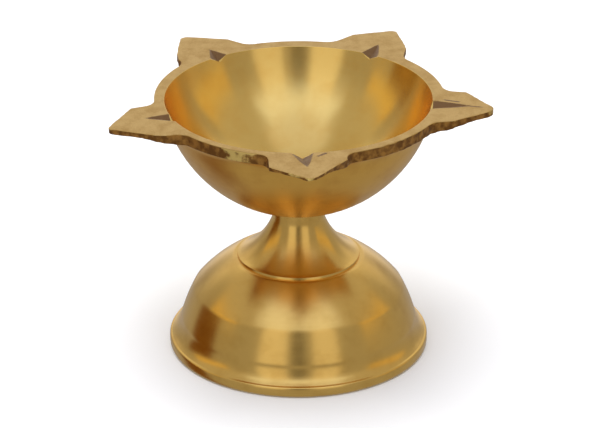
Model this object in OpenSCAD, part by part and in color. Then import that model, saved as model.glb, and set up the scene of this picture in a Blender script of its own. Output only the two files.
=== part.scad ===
// Footed brass oil lamp: a round bowl with five wick spouts on a turned bell foot.
// Origin: on the lamp's axis, on the surface that the foot stands on. +Z is up.
// The first spout points to -Y, within a few degrees. All sizes are in millimetres.

/* [Bowl] */
// Radius of the bowl's mouth, at the inner edge of the rim
mouth_r = 35; // [34:0.5:36]
// Height of the flat rim above the table
rim_z = 70.3; // [69:0.1:72]
// Radius of the ball that the bowl's outside follows
bowl_out_r = 36; // [35.5:0.1:36.5]
// Radius of the ball that the bowl's inside follows
bowl_in_r = 36.8; // [36.6:0.1:38]
// Lowest point of the bowl's outer ball, a little below its faced seat
bowl_z = 39.6; // [39:0.1:40]
// Outer radius of the rim between the spouts
rim_r = 38; // [37:0.5:39]
// Thickness of the rim
rim_t = 3; // [2.4:0.1:3.5]

/* [Spouts] */
// Direction of the first spout, anticlockwise from +X
spout_first = -87; // [-90:1:-80]
// Half of a spout's width where it leaves the rim
spout_half_w = 10; // [8:0.5:11]
// Radius of the fillet between the rim and a spout
spout_fillet_r = 4; // [2:0.5:5]
// Radius of a spout's rounded tip
tip_r = 1.8; // [1:0.2:3]
// Thickness of a spout at its tip
tip_t = 1.5; // [1.2:0.1:2.4]

/* [Wick notches] */
// Depth of a wick notch at the bowl's mouth
notch_depth = 1.7; // [1:0.1:2.2]
// Width of a wick notch at the bowl's mouth
notch_w = 5.6; // [4:0.2:7]
// Radius at which a wick notch runs out into the spout
notch_end_x = 42.5; // [40:0.5:45]

/* [Pedestal] */
// Largest radius of the foot
foot_r = 34.5; // [33:0.5:36]
// Height of the plain band round the foot's lower edge
band_h = 3.2; // [2:0.1:4]
// Wall of the hollow foot
foot_wall = 2.6; // [2.2:0.1:2.8]
// Radius of the scribed ring line
ring_r = 16.5; // [15.5:0.5:17.5]
// Height of the scribed ring line
ring_z = 25.6; // [25:0.1:26.2]
// Radius of the neck at its narrowest
neck_r = 7; // [6.5:0.1:8]
// Height at which the bowl sits on the neck
seat_z = 40.3; // [40:0.1:40.5]

/* [Screw joint] */
// Crest diameter of the thread
thread_d = 7.9; // [7:0.1:8.4]
// Pitch of the thread
thread_pitch = 1.25; // [1:0.05:1.5]
// Length of thread in the neck
thread_in_neck = 8.8; // [8:0.1:10]
// Length of thread in the bowl
thread_in_bowl = 3.2; // [2:0.1:3.2]

/* [Hidden] */
$fn = 96;

// How far each spout's direction has wandered from even spacing, in degrees
SPOUT_DRIFT = [0.5, 7.2, 3.5, -2, 1];
// How far each spout's tip reaches from the lamp's axis
SPOUT_REACH = [51, 51, 52.8, 51.8, 52.3];
// Shoulders of each spout, clockwise side first, as [distance out, half width]
SHOULDERS = [[[43.4, 9.8], [41, 9]], [[41.6, 9.5], [43, 9.8]], [[43.8, 8.5], [45.1, 8.5]],
             [[43.7, 8.8], [43, 8.3]], [[42.8, 9.8], [42.8, 8.6]]];
SPOUTS = len(SPOUT_DRIFT);

ARC_STEPS = 8;
CUT = 0.5;
// how far inside the rim's edge the fillets of the spouts start, so that they cross it
RIM_LAP = 0.4;

BOWL_OUT_Z = bowl_z + bowl_out_r;
BOWL_IN_Z = rim_z + sqrt(pow(bowl_in_r, 2) - pow(mouth_r, 2));
// the wall thickens towards the rim's underside
RIM_ROOT_H = 2.6;
RIM_ROOT_W = 1.7;

STUD_R = thread_d / 2;
HOLE_R = STUD_R + 0.05;
HOLE_END_GAP = 0.1;
THREAD_DEPTH = 0.6;
THREAD_CREST_W = 0.3;
STUD_CHAMFER = 0.5;
STUD_BOTTOM_Z = seat_z - thread_in_neck;
STUD_LEN = thread_in_neck + thread_in_bowl;

// stations of the pedestal's outline, as [radius, height]
FOOT_EDGE = [foot_r - 0.6, 0];
BAND_LOW = [foot_r, 0.8];
BAND_TOP = [foot_r - 0.4, band_h - 0.3];
FLARE_OUT = [foot_r - 0.9, band_h];
FLARE_IN = [foot_r - 3.3, band_h + 4.7];
CREASE = [foot_r - 6.6, band_h + 12.9];
RING = [ring_r, ring_z];
NECK = [neck_r, seat_z - 4];
NECK_TOP = [neck_r, seat_z];
// how far each round stretch swells past its chord; hollow stretches are negative
FLARE_SWELL = -0.65;
WALL_SWELL = 0.2;
DOME_SWELL = 0.75;
NECK_SWELL = -1.4;
RING_LINE_R = 0.45;

// points along an arc from p to q that swells by h to the right of the way
function arc_points(p, q, h) =
    let (c = norm(q - p), r = (c * c / 4 + h * h) / (2 * abs(h)),
         m = (p + q) / 2, n = [q[1] - p[1], p[0] - q[0]] / c,
         o = m - n * sign(h) * (r - abs(h)), half = asin(c / 2 / r),
         mid = atan2(sign(h) * n[1], sign(h) * n[0]))
    [for (i = [0:ARC_STEPS])
        let (a = mid + sign(h) * half * (2 * i / ARC_STEPS - 1)) o + r * [cos(a), sin(a)]];

// one side of a spout seen from above, from the rim to the tip
function spout_side(reach, shoulder) =
    let (w = spout_half_w, f = spout_fillet_r,
         fx = sqrt(pow(rim_r - RIM_LAP + f, 2) - pow(w + f, 2)), start = 180 + atan2(w + f, fx),
         cx = reach - tip_r, s = shoulder - [cx, 0],
         touch = atan2(s[1], s[0]) - acos(tip_r / norm(s)))
    concat(
        [for (i = [0:ARC_STEPS])
            let (a = start + (270 - start) * i / ARC_STEPS) [fx + f * cos(a), w + f + f * sin(a)]],
        [shoulder],
        [for (i = [0:ARC_STEPS])
            let (a = touch * (1 - i / ARC_STEPS)) [cx + tip_r * cos(a), tip_r * sin(a)]]);

function flipped(points) = [for (i = [len(points) - 1:-1:0]) [points[i][0], -points[i][1]]];

module spout_plan(i) {
    polygon(concat(spout_side(SPOUT_REACH[i], SHOULDERS[i][1]),
                   flipped(spout_side(SPOUT_REACH[i], SHOULDERS[i][0]))));
}

module at_spout(i) {
    rotate([0, 0, spout_first + 360 / SPOUTS * i + SPOUT_DRIFT[i]]) children();
}

// the wedge of metal that is missing below the thin tips
module tip_relief() {
    start = rim_r + 2;
    far = max(SPOUT_REACH) + CUT;
    low = rim_z - rim_t - CUT;
    rotate_extrude()
        polygon([[start, low], [far, low], [far, rim_z - tip_t], [start, rim_z - rim_t]]);
}

// a V groove that slopes up and out of the rim, so that it is a triangle from above
module wick_notch() {
    run = notch_end_x - mouth_r;
    slope = atan2(notch_depth, run);
    back = 2.5;
    length = norm([run, notch_depth]) * (1 + back / run) + CUT;
    rise = notch_depth + 1;
    half = notch_w / 2 * rise / notch_depth;
    translate([mouth_r - back, 0, rim_z - notch_depth * (1 + back / run)])
        rotate([0, -slope, 0])
            rotate([90, 0, 90])
                linear_extrude(length)
                    polygon([[0, 0], [half, rise], [-half, rise]]);
}

module bowl_section() {
    difference() {
        union() {
            intersection() {
                translate([0, BOWL_OUT_Z]) circle(bowl_out_r);
                translate([0, seat_z]) square([bowl_out_r, rim_z - seat_z]);
            }
            translate([0, rim_z - rim_t]) square([rim_r, rim_t]);
            translate([mouth_r, rim_z - rim_t])
                polygon([[-1, 0.1], [-1, -RIM_ROOT_H], [RIM_ROOT_W, 0], [RIM_ROOT_W, 0.1]]);
        }
        intersection() {
            translate([0, BOWL_IN_Z]) circle(bowl_in_r);
            square([rim_r, rim_z + CUT]);
        }
        translate([0, seat_z - CUT]) square([HOLE_R, thread_in_bowl + HOLE_END_GAP + CUT]);
    }
}

module bowl() {
    color("goldenrod")
        difference() {
            union() {
                rotate_extrude() bowl_section();
                difference() {
                    for (i = [0:SPOUTS - 1])
                        at_spout(i)
                            translate([0, 0, rim_z - rim_t])
                                linear_extrude(rim_t) spout_plan(i);
                    tip_relief();
                }
            }
            for (i = [0:SPOUTS - 1]) at_spout(i) wick_notch();
        }
}

module threaded_stud() {
    turns = floor(STUD_LEN / thread_pitch);
    groove = thread_pitch - THREAD_CREST_W;
    first = (STUD_LEN - turns * thread_pitch) / 2;
    color("darkgoldenrod")
        translate([0, 0, STUD_BOTTOM_Z])
            rotate_extrude()
                difference() {
                    polygon([[0, 0], [STUD_R - STUD_CHAMFER, 0], [STUD_R, STUD_CHAMFER],
                             [STUD_R, STUD_LEN - STUD_CHAMFER], [STUD_R - STUD_CHAMFER, STUD_LEN], [0, STUD_LEN]]);
                    for (i = [0:turns - 1])
                        translate([STUD_R, first + (i + 0.5) * thread_pitch])
                            polygon([[0, -groove / 2], [0.1, -groove / 2], [0.1, groove / 2],
                                     [0, groove / 2], [-THREAD_DEPTH, 0]]);
                }
}

module foot_hollow() {
    polygon([[0, -CUT], [FLARE_OUT[0] - foot_wall, -CUT], [FLARE_OUT[0] - foot_wall, BAND_TOP[1]],
             [FLARE_IN[0] - foot_wall, FLARE_IN[1]], [CREASE[0] - foot_wall, CREASE[1] - 0.8],
             [RING[0], RING[1] - foot_wall - 0.7], [neck_r + 1, ring_z + 0.6], [0, ring_z + 0.6]]);
}

module pedestal() {
    color("goldenrod")
        rotate_extrude()
            difference() {
                polygon(concat(
                    [[0, 0], FOOT_EDGE, BAND_LOW, BAND_TOP],
                    arc_points(FLARE_OUT, FLARE_IN, FLARE_SWELL),
                    arc_points(FLARE_IN, CREASE, WALL_SWELL),
                    arc_points(CREASE, RING, DOME_SWELL),
                    arc_points(RING, NECK, NECK_SWELL),
                    [NECK_TOP, [0, seat_z]]));
                foot_hollow();
                translate(RING) circle(RING_LINE_R);
                square([HOLE_R, seat_z + CUT]);
            }
}

bowl();
threaded_stud();
pedestal();
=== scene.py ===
"""Footed brass oil lamp with five wick spouts: a turned bowl screwed onto a hollow bell foot."""

import logging
import math
from dataclasses import dataclass
from enum import Enum

import bmesh
import bpy
from mathutils import Matrix, Vector, noise


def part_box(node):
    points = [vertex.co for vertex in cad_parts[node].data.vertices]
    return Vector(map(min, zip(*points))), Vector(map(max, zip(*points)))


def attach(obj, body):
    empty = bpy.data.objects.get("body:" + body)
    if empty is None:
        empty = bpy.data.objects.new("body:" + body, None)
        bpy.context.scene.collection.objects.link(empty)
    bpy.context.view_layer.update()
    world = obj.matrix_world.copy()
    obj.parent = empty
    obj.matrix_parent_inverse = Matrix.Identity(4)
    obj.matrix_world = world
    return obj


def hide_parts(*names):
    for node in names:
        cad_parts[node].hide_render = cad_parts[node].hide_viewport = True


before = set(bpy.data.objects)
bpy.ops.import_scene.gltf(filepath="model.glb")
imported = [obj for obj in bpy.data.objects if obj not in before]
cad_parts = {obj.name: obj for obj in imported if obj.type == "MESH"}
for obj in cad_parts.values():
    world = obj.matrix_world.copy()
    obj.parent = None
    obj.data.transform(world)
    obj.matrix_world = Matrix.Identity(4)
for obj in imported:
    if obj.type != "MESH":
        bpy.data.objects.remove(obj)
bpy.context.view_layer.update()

log = logging.getLogger("oil_lamp")

POINT = tuple[float, float]
COLOUR = tuple[float, float, float]

MM = 0.001
FULL_TURN = 2 * math.pi
DEGREES = 180 / math.pi
MERGE_DIST = 0.002 * MM
# The lamp's axis, as a spin takes it. A full turn is spun in so many equal sectors.
AXIS = {"cent": (0, 0, 0), "axis": (0, 0, 1)}
SECTORS = 24
# How far a quarter round stands past its chord, for each unit of its radius.
QUARTER_SWELL = 0.29
# Turned brass changes this slowly round the axis, while its lines along the outline are fine.
ROUND_LUMPS_EACH_METRE = 14.0


# ---------------------------------------------------------------- outlines and meshes


def arc(start: POINT, end: POINT, swell: float, steps: int) -> list[POINT]:
    """Points along an arc between two points of an outline.

    Args:
        start: First point, as radius and height.
        end: Last point.
        swell: How far the arc stands past its chord, to the right of the way; hollow is negative.
        steps: How many stretches the arc is divided into.

    Returns:
        The points, with both ends.
    """
    a, b = Vector(start), Vector(end)
    chord = (b - a).length
    side = Vector((b.y - a.y, a.x - b.x)) / chord * math.copysign(1, swell)
    radius = (chord**2 / 4 + swell**2) / (2 * abs(swell))
    centre = (a + b) / 2 - side * (radius - abs(swell))
    half = math.asin(chord / 2 / radius)
    middle = math.atan2(side.y, side.x)
    turn = math.copysign(half, swell)
    found = []
    for i in range(steps + 1):
        angle = middle + turn * (2 * i / steps - 1)
        found.append((centre.x + radius * math.cos(angle), centre.y + radius * math.sin(angle)))
    return found


def line(start: POINT, end: POINT, steps: int) -> list[POINT]:
    """Evenly spaced points from start to end, with both ends."""
    a, b = Vector(start), Vector(end)
    return [tuple(a.lerp(b, i / steps)) for i in range(steps + 1)]


def ball(radius: float, centre_z: float, low: float, high: float, steps: int) -> list[POINT]:
    """Points on a ball's outline, upwards between two heights.

    Args:
        radius: Radius of the ball.
        centre_z: Height of its centre, on the axis.
        low: Height of the first point.
        high: Height of the last point.
        steps: How many stretches the outline is divided into.

    Returns:
        The points as radius and height.
    """
    first, last = (math.acos(max(-1.0, (z - centre_z) / radius)) for z in (low, high))
    found = []
    for i in range(steps + 1):
        angle = first + (last - first) * i / steps
        found.append((radius * math.sin(angle), centre_z + radius * math.cos(angle)))
    return found


def joined(*stretches: list[POINT]) -> list[POINT]:
    """Joins stretches of outline that follow each other.

    Args:
        *stretches: The stretches, in order.

    Returns:
        One outline, without the repeated ends.
    """
    found = list(stretches[0])
    for stretch in stretches[1:]:
        gap = (Vector(stretch[0]) - Vector(found[-1])).length
        found += stretch[1:] if gap < MERGE_DIST else stretch
    return found


def spin_zones(zones: list[tuple[int, list[POINT]]], steps: int) -> bmesh.types.BMesh:
    """Turns an outline, given zone by zone, about the lamp's axis.

    Each vertex keeps how far along the outline it lies, in millimetres, as "lathe".

    Args:
        zones: Material index and outline of each zone, in order along the section.
        steps: Number of steps in the full turn, a multiple of SECTORS.

    Returns:
        The closed surface of revolution, with its doubles merged.
    """
    bm = bmesh.new()
    lathe = bm.verts.layers.float.new("lathe")
    along = 0.0
    for index, outline in zones:
        before = set(bm.faces)
        row = []
        for radius, z in outline:
            vert = bm.verts.new((max(radius, 0.0), 0.0, z))
            if row:
                along += (vert.co - row[-1].co).length
            vert[lathe] = along / MM
            row.append(vert)
        edges = [bm.edges.new(pair) for pair in zip(row, row[1:])]
        bmesh.ops.spin(bm, geom=row + edges, **AXIS, angle=FULL_TURN / SECTORS, steps=steps // SECTORS,
                       use_merge=False, use_duplicate=False)
        for face in bm.faces:
            if face not in before:
                face.material_index = index
    rest = SECTORS - 1
    bmesh.ops.spin(bm, geom=[*bm.verts, *bm.edges, *bm.faces], **AXIS, angle=FULL_TURN * rest / SECTORS,
                   steps=rest, use_duplicate=True)
    bmesh.ops.remove_doubles(bm, verts=bm.verts, dist=MERGE_DIST)
    bmesh.ops.recalc_face_normals(bm, faces=bm.faces)
    return bm


def finished(bm: bmesh.types.BMesh, name: str, sharp_deg: float = 38.0) -> bpy.types.Object:
    """Makes an object of a mesh, smooth shaded with its sharp edges kept.

    Args:
        bm: The mesh; it is freed.
        name: Name of the piece.
        sharp_deg: Edges that turn by more than this stay sharp.

    Returns:
        The object, linked to the scene.
    """
    bmesh.ops.triangulate(bm, faces=[f for f in bm.faces if len(f.verts) > 4])
    limit = math.radians(sharp_deg)
    for face in bm.faces:
        face.smooth = True
    for edge in bm.edges:
        edge.smooth = not (len(edge.link_faces) == 2 and edge.calc_face_angle() > limit)
    mesh = bpy.data.meshes.new(name)
    bm.to_mesh(mesh)
    bm.free()
    piece = bpy.data.objects.new(name, mesh)
    bpy.context.scene.collection.objects.link(piece)
    return piece


@dataclass(frozen=True)
class Lumps:
    """Smooth unevenness of a surface: how far across its lumps are, how high, and which pattern."""

    across: float
    height: float
    seed: float

    def at(self, point: Vector) -> float:
        """How high the surface stands at a point, from -height to height."""
        start = Vector((self.seed, self.seed * 0.7, -self.seed))
        return self.height * noise.noise(point / self.across + start)


def smooth_step(value: float, low: float, high: float) -> float:
    """0 below low, 1 above high, and a smooth rise between them."""
    t = min(max((value - low) / (high - low), 0.0), 1.0)
    return t * t * (3 - 2 * t)


# ---------------------------------------------------------------- finishes


@dataclass(frozen=True)
class Pattern:
    """A noise pattern: its lumps in each metre, its finer layers and how strong they are."""

    each_metre: float
    detail: float = 2.0
    rough: float = 0.5


class NodeBoard:
    """A node tree, with short calls that add and join nodes."""

    def __init__(self, tree: bpy.types.NodeTree, space: str) -> None:
        """Clears the tree and takes its coordinates.

        Args:
            tree: Node tree of a material or of the world.
            space: The coordinates that its patterns lie in.
        """
        self.tree = tree
        self.tree.nodes.clear()
        self.place = self.tree.nodes.new("ShaderNodeTexCoord").outputs[space]

    def join(self, source: object, socket: bpy.types.NodeSocket) -> None:
        """Feeds a socket.

        Args:
            source: A number or colour, or another node's output, which is linked.
            socket: The input that it goes to.
        """
        if isinstance(source, bpy.types.NodeSocket):
            self.tree.links.new(source, socket)
        else:
            socket.default_value = source

    def add(self, kind: str, inputs: dict[str | int, object], output: int | str = 0,
            **settings: object) -> bpy.types.NodeSocket:
        """Adds a node.

        Args:
            kind: Node type, without its ShaderNode prefix.
            inputs: Value or source of each input, by name or number.
            output: The output to return.
            **settings: The node's own settings.

        Returns:
            The chosen output socket.
        """
        node = self.tree.nodes.new("ShaderNode" + kind)
        for key, value in settings.items():
            setattr(node, key, value)
        for key, value in inputs.items():
            self.join(value, node.inputs[key])
        return node.outputs[output]

    def math(self, operation: str, *values: object) -> bpy.types.NodeSocket:
        """A math node on one, two or three values."""
        return self.add("Math", dict(enumerate(values)), operation=operation)

    def axes(self, vector: bpy.types.NodeSocket) -> list[bpy.types.NodeSocket]:
        """The three parts of a vector."""
        return list(self.add("SeparateXYZ", {0: vector}).node.outputs)

    def spread(self, value: object, low: float, high: float, to_low: float = 0.0,
               to_high: float = 1.0) -> bpy.types.NodeSocket:
        """Maps the range low to high smoothly onto to_low to to_high."""
        inputs = {"Value": value, "From Min": low, "From Max": high, "To Min": to_low, "To Max": to_high}
        return self.add("MapRange", inputs, "Result", interpolation_type="SMOOTHSTEP")


class FinishBoard(NodeBoard):
    """A material's node tree, with its shader."""

    def __init__(self, name: str) -> None:
        """Starts a material and its shader.

        Args:
            name: The material's name.
        """
        self.material = bpy.data.materials.new(name)
        self.material.use_nodes = True
        super().__init__(self.material.node_tree, "Object")
        self.shader = self.tree.nodes.new("ShaderNodeBsdfPrincipled")
        output = self.tree.nodes.new("ShaderNodeOutputMaterial")
        self.join(self.shader.outputs[0], output.inputs["Surface"])

    def feed(self, name: str, source: object) -> None:
        """Sets or links one of the shader's own inputs."""
        self.join(source, self.shader.inputs[name])

    def noise(self, pattern: Pattern, place: object = None) -> bpy.types.NodeSocket:
        """Adds a noise pattern.

        Args:
            pattern: The pattern.
            place: Where it lies, if not in the piece's own coordinates.

        Returns:
            The noise, from 0 to 1.
        """
        inputs = {"Vector": place or self.place, "Scale": pattern.each_metre}
        inputs |= {"Detail": pattern.detail, "Roughness": pattern.rough}
        return self.add("TexNoise", inputs, "Fac")

    def cells(self, each_metre: float) -> bpy.types.NodeSocket:
        """How far a place is from the middle of the nearest of many scattered cells."""
        return self.add("TexVoronoi", {"Vector": self.place, "Scale": each_metre}, "Distance")

    def mix(self, share: object, low: object, high: object) -> bpy.types.NodeSocket:
        """A colour between low and high."""
        inputs = {"Factor": share, 6: _rgba(low), 7: _rgba(high)}
        return self.add("Mix", inputs, 2, data_type="RGBA")

    def blend(self, first: object, second: object, share: float) -> bpy.types.NodeSocket:
        """The sum of two patterns, with the second one's share given."""
        return self.math("ADD", self.math("MULTIPLY", first, 1 - share), self.math("MULTIPLY", second, share))

    def attribute(self, name: str) -> bpy.types.NodeSocket:
        """The piece's own attribute of that name, as a number."""
        return self.add("Attribute", {}, "Fac", attribute_name=name)

    def bump(self, height: object, distance: float, under: object = None) -> bpy.types.NodeSocket:
        """Bumps the surface by a height map.

        Args:
            height: The height map.
            distance: How high a value of 1 stands.
            under: An earlier bump that this one lies over.

        Returns:
            The bumped normal.
        """
        inputs = {"Height": height, "Strength": 1.0, "Distance": distance}
        if under is not None:
            inputs["Normal"] = under
        return self.add("Bump", inputs, "Normal")

    def lathe_lines(self, each_mm: float) -> bpy.types.NodeSocket:
        """Noise drawn out round the axis, as a turning tool leaves it.

        Args:
            each_mm: How many lines there are in each millimetre along the outline.

        Returns:
            A height from 0 to 1.
        """
        x, y, _ = self.axes(self.place)
        round_x = self.math("MULTIPLY", x, ROUND_LUMPS_EACH_METRE)
        round_y = self.math("MULTIPLY", y, ROUND_LUMPS_EACH_METRE)
        along = self.math("MULTIPLY", self.attribute("lathe"), each_mm)
        place = self.add("CombineXYZ", {0: round_x, 1: round_y, 2: along})
        return self.noise(Pattern(1.0, 1.0), place)

    def ring_tangent(self) -> bpy.types.NodeSocket:
        """The streak's direction on a turned surface.

        Returns:
            The direction round the lamp's axis.
        """
        x, y, _ = self.axes(self.place)
        vector = self.add("CombineXYZ", {0: self.math("MULTIPLY", y, -1.0), 1: x, 2: 0.0})
        return self.add("VectorTransform", {0: vector}, 0, vector_type="VECTOR",
                        convert_from="OBJECT", convert_to="WORLD")


def _rgba(colour: object) -> object:
    """A colour with its alpha, or the socket unchanged."""
    return (*colour, 1.0) if isinstance(colour, tuple) and len(colour) == 3 else colour


@dataclass(frozen=True)
class TurnedBrass:
    """Brass cut on a lathe: fine rings, a little tarnish and a streaked gloss."""

    name: str
    bright: COLOUR
    dull: COLOUR
    rough: float
    rough_spread: float
    lines_each_mm: float
    line_depth: float
    streak: float
    streak_turn: float = 0.25
    clouds: Pattern = Pattern(130.0, 4.0, 0.6)
    stained: POINT = (0.42, 0.72)
    smears: Pattern = Pattern(900.0, 3.0, 0.6)
    smeared: POINT = (0.3, 0.75)
    broad_lines: float = 5.0
    broad_height: float = 1.5
    pit_depth: float = 0.0
    pits_each_metre: float = 420.0
    pit_r: float = 0.16
    pit_fields: Pattern = Pattern(260.0)
    pitted: POINT = (0.56, 0.66)

    def make(self) -> bpy.types.Material:
        """Builds the material.

        Returns:
            The material.
        """
        board = FinishBoard(self.name)
        lines = board.lathe_lines(self.lines_each_mm)
        broad = board.lathe_lines(self.lines_each_mm / self.broad_lines)
        stain = board.spread(board.noise(self.clouds), *self.stained)
        board.feed("Base Color", board.mix(stain, self.bright, self.dull))
        uneven = board.blend(lines, board.noise(self.smears), 0.5)
        glossy, matt = self.rough - self.rough_spread, self.rough + self.rough_spread
        board.feed("Roughness", board.spread(uneven, *self.smeared, glossy, matt))
        height = board.math("ADD", lines, board.math("MULTIPLY", broad, self.broad_height))
        normal = board.bump(height, self.line_depth)
        if self.pit_depth:
            pit = board.spread(board.cells(self.pits_each_metre), 0.0, self.pit_r, -1.0, 0.0)
            rare = board.spread(board.noise(self.pit_fields), *self.pitted)
            normal = board.bump(board.math("MULTIPLY", pit, rare), self.pit_depth, normal)
        board.feed("Normal", normal)
        board.feed("Tangent", board.ring_tangent())
        board.feed("Metallic", 1.0)
        board.feed("Anisotropic", self.streak)
        board.feed("Anisotropic Rotation", self.streak_turn)
        return board.material


@dataclass(frozen=True)
class SandedBrass:
    """Brass rubbed flat on abrasive, with soot where the wicks lay."""

    name: str
    bright: COLOUR
    dull: COLOUR
    soot: COLOUR
    rough: float
    scratch_depth: float
    clouds: Pattern = Pattern(260.0, 5.0, 0.65)
    grains: Pattern = Pattern(2600.0, 3.0, 0.6)
    grain_share: float = 0.35
    tarnished: POINT = (0.38, 0.66)
    soot_rag: float = 1.2
    soot_edge: POINT = (0.25, 0.75)
    sooty_metal: float = 0.75
    gloss_spread: POINT = (-0.07, 0.08)
    rubbed: POINT = (0.35, 0.7)
    scratches: Pattern = Pattern(3600.0, 2.0)
    scratch_turn: float = 0.6
    scratch_squeeze: float = 0.12
    hollows: Pattern = Pattern(700.0, 3.0)
    hollow_height: float = 3.0

    def make(self) -> bpy.types.Material:
        """Builds the material.

        Returns:
            The material.
        """
        board = FinishBoard(self.name)
        tone = board.blend(board.noise(self.clouds), board.noise(self.grains), self.grain_share)
        metal = board.mix(board.spread(tone, *self.tarnished), self.bright, self.dull)
        ragged = board.math("MULTIPLY_ADD", tone, self.soot_rag, -self.soot_rag / 2)
        sooty = board.spread(board.math("ADD", board.attribute("soot"), ragged), *self.soot_edge)
        board.feed("Base Color", board.mix(sooty, metal, self.soot))
        board.feed("Metallic", board.spread(sooty, 0.0, 1.0, 1.0, self.sooty_metal))
        glossy, matt = (self.rough + step for step in self.gloss_spread)
        board.feed("Roughness", board.spread(tone, *self.rubbed, glossy, matt))
        turn, squeeze = (0, 0, self.scratch_turn), (1.0, self.scratch_squeeze, 1.0)
        stretched = board.add("Mapping", {"Vector": board.place, "Rotation": turn, "Scale": squeeze})
        normal = board.bump(board.noise(self.scratches, stretched), self.scratch_depth)
        hollows = board.noise(self.hollows)
        board.feed("Normal", board.bump(hollows, self.scratch_depth * self.hollow_height, normal))
        return board.material


@dataclass(frozen=True)
class CastBrass:
    """Brass as it left the sand: dark skin, pits, and bright metal where it was rubbed, which on the rim's
    edge is also a painted highlight.
    """

    name: str
    skin: COLOUR
    skin_dark: COLOUR
    # Bare rubbed metal; on the rim's edge it is brighter than the other brass, a painted highlight as well as
    # wear.
    rubbed: COLOUR
    rubbed_share: float
    rough: float
    pit_depth: float
    lumps: Pattern = Pattern(520.0, 3.0, 0.55)
    patches: Pattern = Pattern(190.0, 3.0, 0.55)
    darkened: POINT = (0.35, 0.68)
    ragged: float = 0.9
    bare_from: POINT = (0.95, 1.2)
    rubbed_gloss: float = 0.22
    skin_metal: float = 0.85
    pits_each_metre: float = 1500.0
    pit_r: float = 0.45

    def make(self) -> bpy.types.Material:
        """Builds the material.

        Returns:
            The material.
        """
        board = FinishBoard(self.name)
        lumps, patches = board.noise(self.lumps), board.noise(self.patches)
        skin = board.mix(board.spread(lumps, *self.darkened), self.skin_dark, self.skin)
        edge = board.math("MULTIPLY", board.math("ADD", patches, lumps), self.ragged)
        # How bare the metal is: wear, and on the rim's knocked edge a painted highlight too.
        level = board.math("ADD", board.attribute("wear_and_highlight"), board.math("ADD", edge, -self.ragged))
        bare = board.spread(level, *(limit - self.rubbed_share for limit in self.bare_from))
        board.feed("Base Color", board.mix(bare, skin, self.rubbed))
        board.feed("Roughness", board.spread(bare, 0.0, 1.0, self.rough, self.rough - self.rubbed_gloss))
        board.feed("Metallic", board.spread(bare, 0.0, 1.0, self.skin_metal, 1.0))
        pits = board.spread(board.cells(self.pits_each_metre), 0.0, self.pit_r)
        board.feed("Normal", board.bump(board.math("ADD", pits, lumps), self.pit_depth))
        return board.material


POLISHED_INSIDE = TurnedBrass("brass_turned_inside", bright=(0.89, 0.59, 0.17), dull=(0.86, 0.54, 0.14),
                              rough=0.22, rough_spread=0.015, lines_each_mm=3.0,
                              line_depth=0.0012 * MM, streak=0.85)
SATIN_OUTSIDE = TurnedBrass("brass_turned_outside", bright=(0.86, 0.50, 0.11), dull=(0.77, 0.42, 0.09),
                            rough=0.32, rough_spread=0.04, lines_each_mm=2.6,
                            line_depth=0.003 * MM, streak=0.6, pit_depth=0.12 * MM)
POLISHED_FOOT = TurnedBrass("brass_turned_foot", bright=(0.84, 0.53, 0.145), dull=(0.76, 0.46, 0.115),
                            rough=0.25, rough_spread=0.02, lines_each_mm=2.4,
                            line_depth=0.0012 * MM, streak=0.7)
CUT_THREAD = TurnedBrass("brass_cut_thread", bright=(0.80, 0.55, 0.20), dull=(0.66, 0.42, 0.13),
                         rough=0.28, rough_spread=0.06, lines_each_mm=6.0,
                         line_depth=0.006 * MM, streak=0.2)
SANDED_RIM = SandedBrass("brass_sanded_rim", bright=(0.72, 0.475, 0.165), dull=(0.60, 0.37, 0.11),
                         soot=(0.20, 0.105, 0.04), rough=0.42, scratch_depth=0.004 * MM)
# The rim edge's rubbed colour is brighter than the polished brass: worn bare metal and a painted highlight
# together.
CAST_EDGE = CastBrass("brass_cast_edge", skin=(0.46, 0.225, 0.05), skin_dark=(0.20, 0.085, 0.017),
                      rubbed=(0.95, 0.68, 0.22), rubbed_share=0.25, rough=0.5, pit_depth=0.04 * MM)
CAST_HOLLOW = CastBrass("brass_cast_hollow", skin=(0.42, 0.27, 0.10), skin_dark=(0.24, 0.14, 0.05),
                        rubbed=(0.55, 0.38, 0.15), rubbed_share=0.25, rough=0.58, pit_depth=0.08 * MM)


# ---------------------------------------------------------------- the bowl


class BowlZone(Enum):
    """Surfaces of the bowl, by how each one was finished."""

    OUTSIDE = 0
    EDGE = 1
    RIM = 2
    INSIDE = 3
    SOCKET = 4


@dataclass(frozen=True)
class Notch:
    """A V notch, filed for a wick from the bowl's mouth to where it runs out in the spout."""

    mouth_deg: float
    end_deg: float
    end_r: float
    width: float
    depth: float


@dataclass(frozen=True)
class Spout:
    """One wick spout, as its own hand-filed self.

    Lengths run along the spout from the lamp's axis, and tip_t is how thick its tip is. The
    clockwise shoulder is the one on the right of a look outwards.
    """

    direction_deg: float
    reach: float
    tip_r: float
    tip_t: float
    clockwise_shoulder: POINT
    other_shoulder: POINT
    notch: Notch


@dataclass(frozen=True)
class WornHighlitPlace:
    """A stretch of the rim's outer edge that was rubbed and knocked, its bare metal also painted bright as a
    highlight.
    """

    middle_deg: float
    half_deg: float
    most: float

    def share(self, angle: float) -> float:
        """How worn the edge is here, and how strong its painted highlight is: most in the middle, and nothing
        past the ends.
        """
        away = abs((math.degrees(angle) - self.middle_deg + 180) % 360 - 180)
        return self.most * (1 - smooth_step(away, 0.4 * self.half_deg, self.half_deg))


@dataclass(frozen=True)
class Scratch:
    """A dark scratch across the top of the rim."""

    start: POINT
    end: POINT
    width: float

    def share(self, at: Vector) -> float:
        """How far into the scratch a place lies.

        Args:
            at: The place, from above.

        Returns:
            1 in the scratch, falling to 0 beside it.
        """
        start, end = Vector(self.start), Vector(self.end)
        way = end - start
        along = min(1.0, max(0.0, (at - start).dot(way) / way.length_squared))
        away = (at - start.lerp(end, along)).length
        return 1 - smooth_step(away, 0.5 * self.width, 1.5 * self.width)


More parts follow.
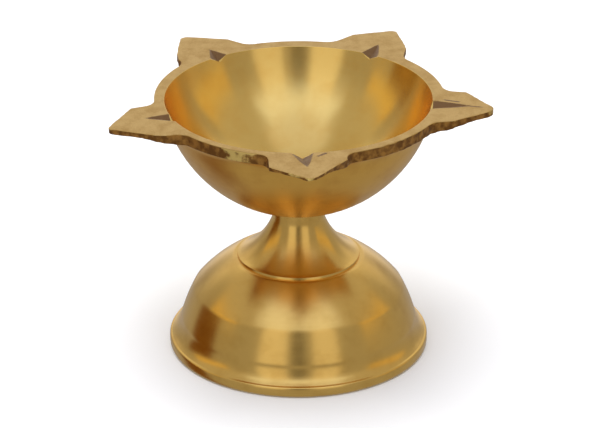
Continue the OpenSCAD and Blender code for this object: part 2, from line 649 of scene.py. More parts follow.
@dataclass
class FiveSpoutBowl:
    """The casting with the oil bowl, its flat rim and five wick spouts."""

    rim_z: float
    seat_z: float
    mouth_r: float = 35 * MM
    out_r: float = 36 * MM
    in_r: float = 36.8 * MM
    out_low_z: float = 39.6 * MM
    rim_r: float = 38 * MM
    rim_t: float = 3 * MM
    half_w: float = 10 * MM
    fillet_r: float = 4 * MM
    socket_r: float = 4 * MM
    socket_depth: float = 3.3 * MM
    seat_r: float = 7 * MM
    edge_round: float = 0.3 * MM
    outline_step: float = 0.42 * MM
    root_fillet: POINT = (1.6 * MM, 2.4 * MM)
    thin_after: float = 0.5 * MM
    thin_run: float = 7.5 * MM
    rim_shift: POINT = (0.3 * MM, 0.9 * MM)
    rim_shift_fade: float = 4 * MM
    smooth_within: float = 0.6 * MM
    edge_wave: Lumps = Lumps(5 * MM, 0.16 * MM, 1.0)
    edge_dents: Lumps = Lumps(1.2 * MM, 0.16 * MM, 2.0)
    edge_skin: Lumps = Lumps(0.5 * MM, 0.07 * MM, 3.0)
    edge_sag: Lumps = Lumps(2.2 * MM, 0.3 * MM, 4.0)
    file_marks: Lumps = Lumps(1.1 * MM, 0.12 * MM, 5.0)
    edge_nicks: Lumps = Lumps(2 * MM, 1.4 * MM, 6.0)
    nick_depth: float = 0.8 * MM
    file_past_mouth: float = 2.5 * MM
    file_past_end: float = 1 * MM
    file_beside: float = 0.75
    file_down: float = 0.85
    edge_wear: float = 0.4
    top_wear: float = 0.2
    top_wear_down: float = 0.7 * MM
    # How much the knocked places add: wear, and a painted highlight on the edge.
    knock_wear_and_highlight: float = 0.9
    scratch_darkness: float = 0.8
    scratches: tuple[Scratch, ...] = (
        Scratch((5.0 * MM, -36.9 * MM), (6.9 * MM, -35.2 * MM), 0.45 * MM),
        Scratch((38.0 * MM, -1.3 * MM), (41.8 * MM, -2.6 * MM), 0.4 * MM),
        Scratch((44.0 * MM, -5.2 * MM), (48.0 * MM, -6.1 * MM), 0.3 * MM),
    )
    # Knocked stretches of the rim's edge: real wear that nicks the edge, with the bare metal also painted
    # bright as a highlight, as at the front spout's tip.
    worn_and_highlit_places: tuple[WornHighlitPlace, ...] = (
        WornHighlitPlace(-114.0, 11.0, 0.50),
        WornHighlitPlace(-101.0, 3.0, 0.30),
        WornHighlitPlace(-91.0, 3.0, 0.25),
        WornHighlitPlace(-86.5, 2.2, 0.55),
        WornHighlitPlace(-9.0, 2.0, 0.35),
        WornHighlitPlace(-19.0, 4.0, 0.30),
        WornHighlitPlace(202.0, 3.5, 0.25),
    )
    # The direction, the reach, the tip's radius and thickness, the two shoulders, and the notch.
    spouts: tuple[Spout, ...] = (
        Spout(-86.5, 50.9 * MM, 1.6 * MM, 0.8 * MM, (43.4 * MM, 10.0 * MM), (39.8 * MM, 9.8 * MM),
              Notch(-88.2, -87.0, 43.4 * MM, 5.6 * MM, 1.6 * MM)),
        Spout(-8.0, 51.0 * MM, 2.4 * MM, 1.7 * MM, (41.6 * MM, 9.4 * MM), (43.0 * MM, 10.0 * MM),
              Notch(-7.1, -6.6, 44.8 * MM, 5.4 * MM, 1.5 * MM)),
        Spout(60.5, 52.8 * MM, 1.6 * MM, 1.6 * MM, (43.8 * MM, 8.5 * MM), (45.1 * MM, 8.5 * MM),
              Notch(57.1, 59.2, 41.8 * MM, 5.0 * MM, 1.25 * MM)),
        Spout(127.0, 51.8 * MM, 2.0 * MM, 1.5 * MM, (43.7 * MM, 8.8 * MM), (43.0 * MM, 8.3 * MM),
              Notch(127.3, 126.2, 39.9 * MM, 5.2 * MM, 1.3 * MM)),
        Spout(202.0, 52.3 * MM, 1.7 * MM, 1.5 * MM, (42.8 * MM, 10.0 * MM), (42.8 * MM, 8.6 * MM),
              Notch(201.0, 198.6, 41.4 * MM, 4.8 * MM, 1.5 * MM)),
    )

    def half_spout(self, spout: Spout, corner: POINT) -> list[POINT]:
        """Half a spout seen from above, from the rim to the tip.

        Args:
            spout: The spout, for its length and tip.
            corner: Its shoulder on this side.

        Returns:
            The points of fillet, flank, slope and half of the rounded tip, with +X along the spout.
        """
        fillet, width = self.fillet_r, self.half_w
        centre = Vector((math.sqrt((self.rim_r + fillet) ** 2 - (width + fillet) ** 2), width + fillet))
        leave = math.pi + math.atan2(centre.y, centre.x)
        bend = []
        steps = round(fillet * (1.5 * math.pi - leave) / self.outline_step)
        for i in range(steps + 1):
            angle = leave + (1.5 * math.pi - leave) * i / steps
            bend.append((centre.x + fillet * math.cos(angle), centre.y + fillet * math.sin(angle)))
        tip = Vector((spout.reach - spout.tip_r, 0.0))
        away = Vector(corner) - tip
        touch = math.atan2(away.y, away.x) - math.acos(spout.tip_r / away.length)
        steps = round(spout.tip_r * touch / self.outline_step) + 1
        rounding = []
        for i in range(steps + 1):
            angle = touch * (1 - i / steps)
            rounding.append((tip.x + spout.tip_r * math.cos(angle), spout.tip_r * math.sin(angle)))
        return joined(bend, self.divided(bend[-1], corner), self.divided(corner, rounding[0]), rounding)

    def divided(self, start: POINT, end: POINT) -> list[POINT]:
        """A straight stretch of outline at the outline's spacing."""
        length = (Vector(end) - Vector(start)).length
        return line(start, end, max(1, round(length / self.outline_step)))

    def plan(self) -> list[POINT]:
        """The whole rim from above.

        Returns:
            Its points as angle and radius, anticlockwise once round, a whole number for each sector.
        """
        found = []
        count = len(self.spouts)
        for i, spout in enumerate(self.spouts):
            turn = math.radians(spout.direction_deg)
            sides = []
            for corner in (spout.clockwise_shoulder, spout.other_shoulder):
                outline = self.half_spout(spout, corner)
                sides.append([(math.atan2(y, x), math.hypot(x, y)) for x, y in outline])
            found += [(turn - a, r) for a, r in sides[0][:-1]]
            found += [(turn + a, r) for a, r in reversed(sides[1])]
            after = self.spouts[(i + 1) % count]
            start = turn + sides[1][0][0]
            end = math.radians(after.direction_deg) - sides[0][0][0]
            end += FULL_TURN if end < start else 0.0
            steps = round((end - start) * self.rim_r / self.outline_step)
            if i == count - 1:
                steps += -(len(found) + steps - 1) % SECTORS
            found += [(start + (end - start) * k / steps, self.rim_r) for k in range(1, steps)]
        return [(angle, radius + self.off_centre(angle, radius)) for angle, radius in found]

    def off_centre(self, angle: float, radius: float) -> float:
        """How much further out the rim lies at an angle, since it wasn't turned quite true."""
        shift = self.rim_shift[0] * math.cos(angle) + self.rim_shift[1] * math.sin(angle)
        return shift * (1 - smooth_step(radius, self.rim_r, self.rim_r + self.rim_shift_fade))

    def zones(self) -> list[tuple[int, list[POINT]]]:
        """The section's outline, from the stud's socket round to the bowl's floor.

        Returns:
            Material index and outline of each zone.
        """
        top, under = self.rim_z, self.rim_z - self.rim_t
        out_centre = self.out_low_z + self.out_r
        in_centre = top + math.sqrt(self.in_r**2 - self.mouth_r**2)
        root_z = under - self.root_fillet[1]
        root_low = (math.sqrt(self.out_r**2 - (out_centre - root_z) ** 2), root_z)
        root_top = (self.mouth_r + self.root_fillet[0], under)
        socket_top = self.seat_z + self.socket_depth
        soft = self.edge_round
        socket = joined(
            line((0.0, socket_top), (self.socket_r, socket_top), 2),
            line((self.socket_r, socket_top), (self.socket_r, self.seat_z + soft), 2),
            line((self.socket_r, self.seat_z + soft), (self.socket_r + soft, self.seat_z), 1),
            line((self.socket_r + soft, self.seat_z), (self.seat_r, self.seat_z), 3),
        )
        outside = joined(
            ball(self.out_r, out_centre, self.seat_z, root_low[1], 22),
            arc(root_low, root_top, -0.35 * MM, 4),
            line(root_top, (self.rim_r - soft, under), 9),
        )
        mouth_soft, top_soft = 0.3 * soft, 0.5 * soft
        edge = joined(
            arc((self.rim_r - soft, under), (self.rim_r, under + soft), QUARTER_SWELL * soft, 3),
            line((self.rim_r, under + soft), (self.rim_r, top - top_soft), 5),
        )
        rim = joined(
            arc((self.rim_r, top - top_soft), (self.rim_r - top_soft, top), QUARTER_SWELL * top_soft, 2),
            line((self.rim_r - top_soft, top), (self.mouth_r + mouth_soft, top), 26),
        )
        inside = joined(
            arc((self.mouth_r + mouth_soft, top), (self.mouth_r, top - mouth_soft), 0.2 * mouth_soft, 2),
            list(reversed(ball(self.in_r, in_centre, in_centre - self.in_r, top - mouth_soft, 28))),
        )
        return [
            (BowlZone.SOCKET.value, socket),
            (BowlZone.OUTSIDE.value, outside),
            (BowlZone.EDGE.value, edge),
            (BowlZone.RIM.value, rim),
            (BowlZone.INSIDE.value, inside),
        ]

    def stretch_to_plan(self, bm: bmesh.types.BMesh, plan: list[POINT]) -> None:
        """Draws the round rim out into the spouts, and thins them towards their tips.

        Args:
            bm: The bowl's mesh, with as many steps round as the plan has points.
            plan: The rim from above.
        """
        grip = self.mouth_r + 0.5 * MM
        under = self.rim_z - self.rim_t
        step = FULL_TURN / len(plan)
        for vert in bm.verts:
            radius = math.hypot(vert.co.x, vert.co.y)
            if radius < MERGE_DIST:
                continue
            angle, reach = plan[round(math.atan2(vert.co.y, vert.co.x) / step) % len(plan)]
            share = max(0.0, (radius - grip) / (self.rim_r - grip))
            radius += share * (reach - self.rim_r)
            if vert.co.z > under - MERGE_DIST:
                vert.co.z += self.thinning(angle, radius) * (self.rim_z - vert.co.z) / self.rim_t
            vert.co.x, vert.co.y = radius * math.cos(angle), radius * math.sin(angle)

    def thinning(self, angle: float, radius: float) -> float:
        """How much thinner the rim gets in a spout.

        Args:
            angle: Where the place lies round the axis.
            radius: How far out it lies.

        Returns:
            How much higher the underside lies there than under the rim.
        """
        nearest = min(self.spouts, key=lambda spout: -math.cos(angle - math.radians(spout.direction_deg)))
        lost = self.rim_t - nearest.tip_t
        return lost * min(1.0, max(0.0, (radius - self.rim_r - self.thin_after) / self.thin_run))

    def notch_frame(self, notch: Notch) -> tuple[Matrix, float]:
        """Where a wick notch lies.

        Args:
            notch: The notch.

        Returns:
            Its frame and its length. The frame's origin is at the run-out, and -X points along the
            notch towards the bowl.
        """
        ends = []
        for radius, turn in ((self.mouth_r, notch.mouth_deg), (notch.end_r, notch.end_deg)):
            angle = math.radians(turn)
            ends.append(Vector((radius * math.cos(angle), radius * math.sin(angle), self.rim_z)))
        way = ends[1] - ends[0]
        turned = Matrix.Rotation(math.atan2(way.y, way.x), 4, "Z")
        return Matrix.Translation(ends[1]) @ turned, way.length

    def under_file(self, notch: Notch, at: Vector, run: float) -> bool:
        """Whether the file can reach a place.

        Args:
            notch: The notch that is filed.
            at: The place, in the notch's frame.
            run: The notch's length.

        Returns:
            True near the notch, down to most of the rim's thickness.
        """
        along = -run - self.file_past_mouth < at.x < self.file_past_end
        beside = abs(at.y) < self.file_beside * notch.width
        return along and beside and at.z > -self.file_down * self.rim_t

    def file_notch(self, bm: bmesh.types.BMesh, notch: Notch) -> None:
        """Files a V notch that deepens towards the bowl and breaks through its wall.

        Args:
            bm: The bowl's mesh.
            notch: The notch.
        """
        place, run = self.notch_frame(notch)
        local = place.inverted()
        fall = notch.depth / run
        rise = notch.depth / (notch.width / 2)
        faces = [f for f in bm.faces if self.under_file(notch, local @ f.calc_center_median(), run)]
        edges = dict.fromkeys(edge for face in faces for edge in face.edges)
        verts = dict.fromkeys(vert for face in faces for vert in face.verts)
        geom = [*faces, *edges, *verts]
        for normal in (Vector((-fall, -rise, 1)), Vector((-fall, rise, 1)), Vector((0, 1, 0))):
            cut = bmesh.ops.bisect_plane(bm, geom=geom, dist=0.01 * MM, plane_co=place.translation,
                                         plane_no=place.to_3x3() @ normal)
            geom = cut["geom"]
        for vert in [part for part in geom if isinstance(part, bmesh.types.BMVert)]:
            at = local @ vert.co
            floor = fall * at.x + rise * abs(at.y)
            if at.x < 0.5 * MM and at.z > floor:
                rough = self.file_marks.at(vert.co) * min(1.0, (at.z - floor) / MM)
                vert.co.z += floor - at.z + rough

    def worn_and_highlit_share(self, vert: bmesh.types.BMVert) -> float:
        """How worn the rim's outer edge is at a vertex, and how bright its painted highlight is there, from 0
        to 1.
        """
        angle = math.atan2(vert.co.y, vert.co.x)
        return max(place.share(angle) for place in self.worn_and_highlit_places)

    def roughen_edge(self, bm: bmesh.types.BMesh) -> None:
        """Leaves the rim's outer edge uneven, as it was cast and filed, and nicked where it is worn.

        The rim is a little off centre, and where its edge lies nearest to the axis it stays smooth.

        Args:
            bm: The bowl's mesh.
        """
        smooth_r = self.rim_r - self.smooth_within
        for vert in bm.verts:
            on_edge = any(face.material_index == BowlZone.EDGE.value for face in vert.link_faces)
            if not on_edge or math.hypot(vert.co.x, vert.co.y) < smooth_r:
                continue
            out = Vector((vert.co.x, vert.co.y, 0)).normalized()
            depth = (self.rim_z - vert.co.z) / self.rim_t
            uneven = self.edge_wave.at(vert.co) + self.edge_dents.at(vert.co) + self.edge_skin.at(vert.co)
            bite = max(0.0, self.nick_depth + self.edge_nicks.at(vert.co))
            nick = self.worn_and_highlit_share(vert) * (1 - depth) * bite
            vert.co += out * (uneven - nick)
            vert.co.z += depth * self.edge_sag.at(vert.co)

    def notch_soot(self, notch: Notch, at: Vector, run: float) -> float:
        """How sooty a place is from the wick in one notch.

        Args:
            notch: The notch.
            at: The place, in the notch's frame.
            run: The notch's length.

        Returns:
            A share from 0 to 1, most near the notch's run-out.
        """
        if not (-run - 3 * MM < at.x < 4 * MM and abs(at.y) < notch.width):
            return 0.0
        half = notch.width / 2 * min(1.0, max(0.0, -at.x) / run + 0.12)
        across = 1 - smooth_step(abs(at.y), 0.6 * half, 1.15 * half + 0.2 * MM)
        burnt = 1 - smooth_step(at.x, -0.35 * run, 1.5 * MM)
        past_end = 1 - smooth_step(at.x, 0.0, 2.5 * MM)
        return across * (0.3 + 0.7 * burnt) * past_end

    def mark_use(self, bm: bmesh.types.BMesh) -> None:
        """Writes soot near the wick notches, and wear along the edges with painted highlights at the knocked
        places, as attributes.

        Args:
            bm: The bowl's mesh.
        """
        soot = bm.verts.layers.float.new("soot")
        wear_and_highlight = bm.verts.layers.float.new("wear_and_highlight")
        frames = []
        for spout in self.spouts:
            place, run = self.notch_frame(spout.notch)
            frames.append((spout.notch, place.inverted(), run))
        for vert in bm.verts:
            dark = max(self.notch_soot(notch, local @ vert.co, run) for notch, local, run in frames)
            from_top = abs(vert.co.z - self.rim_z)
            if from_top < 0.1 * MM:
                scratched = max(scratch.share(vert.co.xy) for scratch in self.scratches)
                dark = max(dark, self.scratch_darkness * scratched)
            vert[soot] = dark
            top = 1 - smooth_step(from_top, 0.0, self.top_wear_down)
            # The knocked places add a painted highlight to the edge's real wear.
            vert[wear_and_highlight] = self.edge_wear + self.top_wear * top + self.knock_wear_and_highlight * self.worn_and_highlit_share(vert)

    def build(self) -> bpy.types.Object:
        """Makes the bowl's mesh.

        Returns:
            The bowl, with each zone's faces given its material index.
        """
        plan = self.plan()
        bm = spin_zones(self.zones(), len(plan))
        self.stretch_to_plan(bm, plan)
        self.roughen_edge(bm)
        for spout in self.spouts:
            self.file_notch(bm, spout.notch)
        self.mark_use(bm)
        return finished(bm, "five_spout_bowl")

    def dress(self, piece: bpy.types.Object) -> None:
        """Gives each zone its finish.

        Args:
            piece: The object that was built.
        """
        finishes = {
            BowlZone.OUTSIDE: SATIN_OUTSIDE,
            BowlZone.EDGE: CAST_EDGE,
            BowlZone.RIM: SANDED_RIM,
            BowlZone.INSIDE: POLISHED_INSIDE,
            BowlZone.SOCKET: CUT_THREAD,
        }
        for zone in BowlZone:
            piece.data.materials.append(finishes[zone].make())


# ---------------------------------------------------------------- the pedestal


class PedestalZone(Enum):
    """Surfaces of the pedestal, by how each one was finished."""

    OUTSIDE = 0
    HOLLOW = 1
    BORE = 2


@dataclass
class BellPedestal:
    """The hollow bell foot with its neck, which the bowl screws into."""

    foot_r: float
    seat_z: float
    wall: float = 2.6 * MM
    band_h: float = 3.2 * MM
    tread_in: float = 1.2 * MM
    side_in: float = 0.1 * MM
    round_in: float = 0.5 * MM
    lip_in: float = 0.9 * MM
    flare: POINT = (3.3 * MM, 4.7 * MM)
    crease: POINT = (6.6 * MM, 12.9 * MM)
    ring: POINT = (16.5 * MM, 25.6 * MM)
    ring_way: POINT = (-0.768, 0.64)
    ring_line_w: float = 0.5 * MM
    ring_line_depth: float = 0.4 * MM
    crown_gap: float = 0.6 * MM
    neck_r: float = 7 * MM
    neck_h: float = 4 * MM
    seat_round: float = 0.2 * MM
    bore_r: float = 4 * MM
    bore_chamfer: float = 0.5 * MM
    pitch: float = 1.25 * MM
    thread_depth: float = 0.45 * MM
    thread_below_seat: float = 0.8 * MM
    thread_above_end: float = 0.3 * MM
    skin: Lumps = Lumps(4 * MM, 0.12 * MM, 7.0)
    tread_wear: float = 0.9
    hollow_wear: float = 0.35
    steps: int = 480

    def inside_foot(self, inset: float, rise: float) -> POINT:
        """A point so far in from the foot's rim and so far above its band."""
        return self.foot_r - inset, self.band_h + rise

    def outside(self) -> list[POINT]:
        """The turned outline.

        Returns:
            Its points, from the foot's lower edge up to the seat.
        """
        side = self.foot_r - self.side_in
        side_top = (side, self.band_h - 0.7 * MM)
        rounded = self.inside_foot(self.round_in, -0.2 * MM)
        lip = self.inside_foot(self.lip_in, 0.0)
        flare, crease = self.inside_foot(*self.flare), self.inside_foot(*self.crease)
        neck = (self.neck_r, self.seat_z - self.neck_h)
        neck_top = (self.neck_r, self.seat_z - self.seat_round)
        dome = arc(crease, self.ring, 0.75 * MM, 22)
        rise = arc(self.ring, neck, -1.4 * MM, 26)
        ring_r, ring_z = self.ring
        way_r, way_z = (part * self.ring_line_w for part in self.ring_way)
        deep_r, deep_z = (part * self.ring_line_depth for part in self.ring_way)
        below, above = (ring_r - way_r, ring_z - way_z), (ring_r + way_r, ring_z + way_z)
        valley = (ring_r - deep_z, ring_z + deep_r)
        return joined(
            arc((self.foot_r - self.tread_in, 0.0), (side, 0.9 * MM), 0.24 * MM, 5),
            line((side, 0.9 * MM), side_top, 3),
            arc(side_top, rounded, 0.1 * MM, 3),
            arc(rounded, lip, -0.06 * MM, 2),
            arc(lip, flare, -0.65 * MM, 14),
            arc(flare, crease, 0.2 * MM, 14),
            dome[:-1],
            [below, valley, above],
            rise[2:],
            line(neck, neck_top, 4),
            arc(neck_top, (self.neck_r - self.seat_round, self.seat_z), 0.2 * self.seat_round, 2),
        )

    def bore(self) -> list[POINT]:
        """The seat and the tapped hole.

        Returns:
            Their points, from the seat down into the hollow.
        """
        bottom = self.ring[1] + self.crown_gap
        chamfer = self.bore_r + self.bore_chamfer
        found = line((self.neck_r - self.seat_round, self.seat_z), (chamfer, self.seat_z), 3)
        found.append((self.bore_r, self.seat_z - self.bore_chamfer))
        groove = ((0.0, 0.0), (0.4, self.thread_depth), (0.5, self.thread_depth), (0.9, 0.0))
        z = self.seat_z - self.thread_below_seat
        while z - self.pitch > bottom + self.thread_above_end:
            found += [(self.bore_r + depth, z - share * self.pitch) for share, depth in groove]
            z -= self.pitch
        found.append((self.bore_r, bottom))
        return found

    def hollow(self) -> list[POINT]:
        """The cast inside of the bell.

        Returns:
            Its points, from the bore out and down to the foot's lower edge.
        """
        top = self.ring[1] + self.crown_gap
        crown = (self.neck_r + 1 * MM, top)
        under_ring = (self.ring[0], self.ring[1] - self.wall - 0.7 * MM)
        under_crease = self.inside_foot(self.crease[0] + self.wall, self.crease[1] - 0.8 * MM)
        low = self.inside_foot(self.flare[0] + self.wall, self.flare[1])
        mouth = self.inside_foot(self.lip_in + self.wall, -0.3 * MM)
        edge = (mouth[0], 0.3 * MM)
        tread = (mouth[0] + 0.3 * MM, 0.0)
        return joined(
            line((self.bore_r, top), crown, 3),
            arc(crown, under_ring, -0.5 * MM, 8),
            arc(under_ring, under_crease, -0.5 * MM, 10),
            arc(under_crease, low, -0.15 * MM, 8),
            arc(low, mouth, 0.3 * MM, 6),
            line(mouth, edge, 3),
            arc(edge, tread, -0.08 * MM, 2),
            line(tread, (self.foot_r - self.tread_in, 0.0), 3),
        )

    def build(self) -> bpy.types.Object:
        """Makes the pedestal's mesh.

        Returns:
            The pedestal, with each zone's faces given its material index.
        """
        bm = spin_zones([
            (PedestalZone.OUTSIDE.value, self.outside()),
            (PedestalZone.BORE.value, self.bore()),
            (PedestalZone.HOLLOW.value, self.hollow()),
        ], self.steps)
        wear_and_highlight = bm.verts.layers.float.new("wear_and_highlight")
        for vert in bm.verts:
            zones = {face.material_index for face in vert.link_faces}
            if zones == {PedestalZone.HOLLOW.value} and vert.co.z > 0.5 * MM:
                vert.co += vert.normal * self.skin.at(vert.co)
            vert[wear_and_highlight] = self.tread_wear if vert.co.z < 0.2 * MM else self.hollow_wear
        return finished(bm, "bell_pedestal")

    def dress(self, piece: bpy.types.Object) -> None:
        """Gives each zone its finish.

        Args:
            piece: The object that was built.
        """
        finishes = {
            PedestalZone.OUTSIDE: POLISHED_FOOT,
            PedestalZone.HOLLOW: CAST_HOLLOW,
            PedestalZone.BORE: CUT_THREAD,
        }
        for zone in PedestalZone:
            piece.data.materials.append(finishes[zone].make())


# ---------------------------------------------------------------- the stud


@dataclass
class ScrewStud:
    """The threaded stud that is fixed in the bowl and screws into the neck."""

    low_z: float
    high_z: float
    crest_r: float
    pitch: float = 1.25 * MM
    thread_depth: float = 0.6 * MM
    chamfer: float = 0.6 * MM
    steps_each_turn: int = 48

    def build(self) -> bpy.types.Object:
        """Winds the thread, trims it flat at both ends and closes it.

        Returns:
            The stud.
        """
        root = self.crest_r - self.thread_depth
        turns = math.ceil((self.high_z - self.low_z) / self.pitch) + 2
        profile = [(root, 0.0), (root, 0.1), (self.crest_r, 0.45), (self.crest_r, 0.65), (root, 1.0)]
        bm = bmesh.new()
        start = self.low_z - self.pitch * 1.2
        row = [bm.verts.new((r, 0.0, start + share * self.pitch)) for r, share in profile]
        edges = [bm.edges.new(pair) for pair in zip(row, row[1:])]
        bmesh.ops.spin(bm, geom=row + edges, **AXIS, angle=FULL_TURN * turns,
                       steps=self.steps_each_turn * turns, dvec=(0, 0, self.pitch / self.steps_each_turn),
                       use_merge=False, use_duplicate=False)
        bmesh.ops.remove_doubles(bm, verts=bm.verts, dist=MERGE_DIST)
        for height, up in ((self.low_z, -1), (self.high_z, 1)):
            geom = [*bm.verts, *bm.edges, *bm.faces]
            cut = bmesh.ops.bisect_plane(bm, geom=geom, dist=0.001 * MM, plane_co=(0, 0, height),
                                         plane_no=(0, 0, up), clear_outer=True)
            loop = [e for e in cut["geom_cut"] if isinstance(e, bmesh.types.BMEdge)]
            bmesh.ops.contextual_create(bm, geom=loop)
        lathe = bm.verts.layers.float.new("lathe")
        for vert in bm.verts:
            gap = min(vert.co.z - self.low_z, self.high_z - vert.co.z)
            radius = math.hypot(vert.co.x, vert.co.y)
            most = self.crest_r - max(0.0, self.chamfer - gap)
            if radius > most:
                vert.co.x *= most / radius
                vert.co.y *= most / radius
            vert[lathe] = vert.co.z / MM
        bmesh.ops.recalc_face_normals(bm, faces=bm.faces)
        return finished(bm, "screw_stud", 30.0)

    def dress(self, piece: bpy.types.Object) -> None:
        """Gives the stud its cut-thread finish."""
        piece.data.materials.append(CUT_THREAD.make())


# ---------------------------------------------------------------- the studio


@dataclass(frozen=True)
class Panel:
    """A soft panel of the light tent, by where it stands round the lamp and how high it reaches.

    The front is at 0 degrees and the right at 90. A panel with a level below 0 is a dark one, and
    one that is wider than 180 degrees to each side goes all the way round.
    """

    middle_deg: float
    half_width_deg: float
    low_deg: float
    high_deg: float
    soft_deg: float
    level: float
    tint: COLOUR = (1.0, 1.0, 1.0)


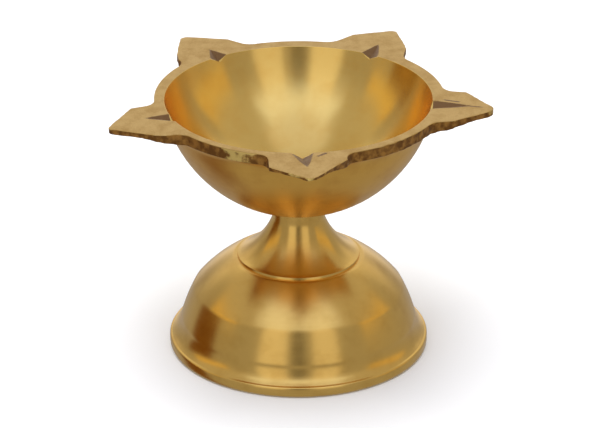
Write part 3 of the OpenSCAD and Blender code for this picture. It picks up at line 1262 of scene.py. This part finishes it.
@dataclass
class Studio:
    """The pale floor, the light tent and the camera."""

    target: Vector
    tent_level: float = 0.40
    floor_size: float = 6.0
    paper: COLOUR = (0.92, 0.92, 0.9108)
    paper_rough: float = 0.9
    paper_mottle: Pattern = Pattern(30.0, 3.0)
    mottle_tone: float = 0.99
    camera_elevation_deg: float = 25.1
    camera_distance: float = 1.0
    lens: float = 227.0
    lamp_watts: float = 24.0
    lamp_size: float = 1.4
    lamp_height: float = 1.6
    lamp_place: POINT = (-0.1, 0.1)
    sensor: float = 36.0
    tent_tint: COLOUR = (1.0, 0.985, 0.96)
    panels: tuple[Panel, ...] = (
        # Two bright strips at the front, with a darker gap between them.
        Panel(-25.0, 14.0, -10.0, 46.0, 2.5, 0.42),
        Panel(27.0, 13.0, -10.0, 46.0, 2.5, 0.38),
        Panel(0.0, 6.5, -10.0, 50.0, 2.5, -0.20),
        # A softbox high up at the front, a faint ring all round, and the tent's bright top.
        Panel(0.0, 62.0, 47.0, 68.0, 4.0, 0.58, (0.80, 1.05, 1.8)),
        Panel(0.0, 200.0, 34.0, 68.0, 4.0, 0.12),
        Panel(0.0, 200.0, 68.0, 100.0, 4.0, 0.40, (0.85, 1.0, 1.6)),
        # A dark patch low on the left, and a warm strip over it and on the right.
        Panel(-104.0, 16.0, -60.0, 16.0, 4.0, -0.30, (0.75, 1.08, 1.3)),
        Panel(-92.0, 20.0, 19.0, 32.0, 3.0, 0.38, (1.15, 0.65, -0.4)),
        Panel(92.0, 22.0, 13.0, 32.0, 3.0, 0.28, (1.15, 0.65, -0.4)),
        # A window behind the lamp, narrower and brighter near the floor.
        Panel(180.0, 22.0, -10.0, 14.0, 8.0, 0.5),
        Panel(180.0, 45.0, 14.0, 45.0, 8.0, 0.34),
    )

    def tent(self) -> None:
        """Paints the light tent as the world: one soft level with panels added to it."""
        world = bpy.data.worlds.new("light_tent")
        bpy.context.scene.world = world
        world.use_nodes = True
        board = NodeBoard(world.node_tree, "Generated")
        x, y, z = board.axes(board.place)
        height = board.math("MULTIPLY", board.math("ARCSINE", z), DEGREES)
        total = (self.tent_level,) * 3
        for panel in self.panels:
            share = self.panel_share(board, panel, (x, y, height))
            tint = tuple(Vector(panel.tint) * panel.level)
            glow = board.add("VectorMath", {0: tint, "Scale": share}, operation="SCALE")
            total = board.add("VectorMath", {0: glow, 1: total}, operation="ADD")
        light = board.add("VectorMath", {0: total, 1: self.tent_tint}, operation="MULTIPLY")
        background = board.add("Background", {"Color": light, "Strength": 1.0})
        output = board.tree.nodes.new("ShaderNodeOutputWorld")
        board.join(background, output.inputs["Surface"])

    def panel_share(self, board: NodeBoard, panel: Panel, way: tuple) -> bpy.types.NodeSocket:
        """How much of a panel is seen in a direction.

        Args:
            board: The world's node tree.
            panel: The panel.
            way: The direction's X and Y, and its elevation in degrees.

        Returns:
            1 on the panel, falling softly to 0 at its edges.
        """
        x, y, height = way
        turn = math.radians(panel.middle_deg)
        ahead_x, ahead_y = math.sin(turn), -math.cos(turn)
        forward = board.math("ADD", board.math("MULTIPLY", x, ahead_x), board.math("MULTIPLY", y, ahead_y))
        sideways = board.math("ADD", board.math("MULTIPLY", x, -ahead_y), board.math("MULTIPLY", y, ahead_x))
        angle = board.math("MULTIPLY", board.math("ARCTAN2", sideways, forward), DEGREES)
        soft = panel.soft_deg
        ends = []
        for value, low, high in ((angle, -panel.half_width_deg, panel.half_width_deg),
                                 (height, panel.low_deg, panel.high_deg)):
            rise = board.spread(value, low - soft, low + soft)
            fall = board.spread(value, high - soft, high + soft, 1.0, 0.0)
            ends.append(board.math("MULTIPLY", rise, fall))
        return board.math("MULTIPLY", *ends)

    def floor(self) -> None:
        """Lays the pale sweep that the lamp stands on; the brass mirrors the tent in its place."""
        bm = bmesh.new()
        bmesh.ops.create_grid(bm, x_segments=2, y_segments=2, size=self.floor_size / 2)
        sheet = finished(bm, "pale_floor")
        board = FinishBoard("pale_paper")
        darker = tuple(self.mottle_tone * part for part in self.paper)
        board.feed("Base Color", board.mix(board.noise(self.paper_mottle), self.paper, darker))
        board.feed("Roughness", self.paper_rough)
        sheet.data.materials.append(board.material)
        sheet.visible_glossy = False

    def overhead(self) -> None:
        """Hangs a soft lamp over the floor; it lights the floor without a mirror image of itself."""
        data = bpy.data.lights.new("overhead", "AREA")
        data.energy = self.lamp_watts
        data.size = self.lamp_size
        lamp = bpy.data.objects.new("overhead", data)
        lamp.location = (*self.lamp_place, self.lamp_height)
        lamp.rotation_euler = (self.target - lamp.location).to_track_quat("-Z", "Y").to_euler()
        lamp.visible_glossy = False
        bpy.context.scene.collection.objects.link(lamp)

    def camera(self) -> None:
        """Stands the camera in front of the lamp, looking down on it."""
        data = bpy.data.cameras.new("camera")
        data.lens = self.lens
        data.sensor_width = self.sensor
        data.clip_end = 50.0
        camera = bpy.data.objects.new("camera", data)
        tilt = math.radians(self.camera_elevation_deg)
        back = Vector((0, -math.cos(tilt), math.sin(tilt)))
        camera.location = self.target + back * self.camera_distance
        camera.rotation_euler = (-back).to_track_quat("-Z", "Y").to_euler()
        bpy.context.scene.collection.objects.link(camera)
        bpy.context.scene.camera = camera

    def build(self) -> None:
        """Sets the tent, the floor, the lamp, the camera and plain colours."""
        self.tent()
        self.floor()
        self.overhead()
        self.camera()
        bpy.context.scene.view_settings.view_transform = "Standard"


# ---------------------------------------------------------------- the lamp


def report(piece: bpy.types.Object) -> None:
    """Logs a piece's name, faces and size."""
    size = ", ".join(f"{side / MM:.1f}" for side in piece.dimensions)
    log.info("%s: %d faces, %s mm", piece.name, len(piece.data.polygons), size)


def main() -> None:
    """Builds the lamp's pieces over the CAD nodes, then the studio round them."""
    logging.basicConfig(level=logging.INFO, format="%(name)s %(message)s")
    bowl_high, pedestal_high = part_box("bowl")[1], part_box("pedestal")[1]
    stud_low, stud_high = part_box("threaded_stud")
    seat_z = pedestal_high.z

    bowl = FiveSpoutBowl(rim_z=bowl_high.z, seat_z=seat_z)
    pedestal = BellPedestal(foot_r=pedestal_high.x, seat_z=seat_z)
    stud = ScrewStud(low_z=stud_low.z, high_z=stud_high.z, crest_r=stud_high.x)
    pieces = [
        (bowl, "bowl", "bowl", "bowl_brass"),
        (pedestal, "pedestal", "pedestal", "pedestal_brass"),
        (stud, "stud", "threaded_stud", "stud_brass"),
    ]
    for maker, body, node, slot in pieces:
        piece = maker.build()
        maker.dress(piece)
        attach(piece, body)
        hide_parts(node)
        report(piece)

    Studio(target=Vector((0.4 * MM, 0.0, 36.9 * MM))).build()


if __name__ == "__main__":
    main()
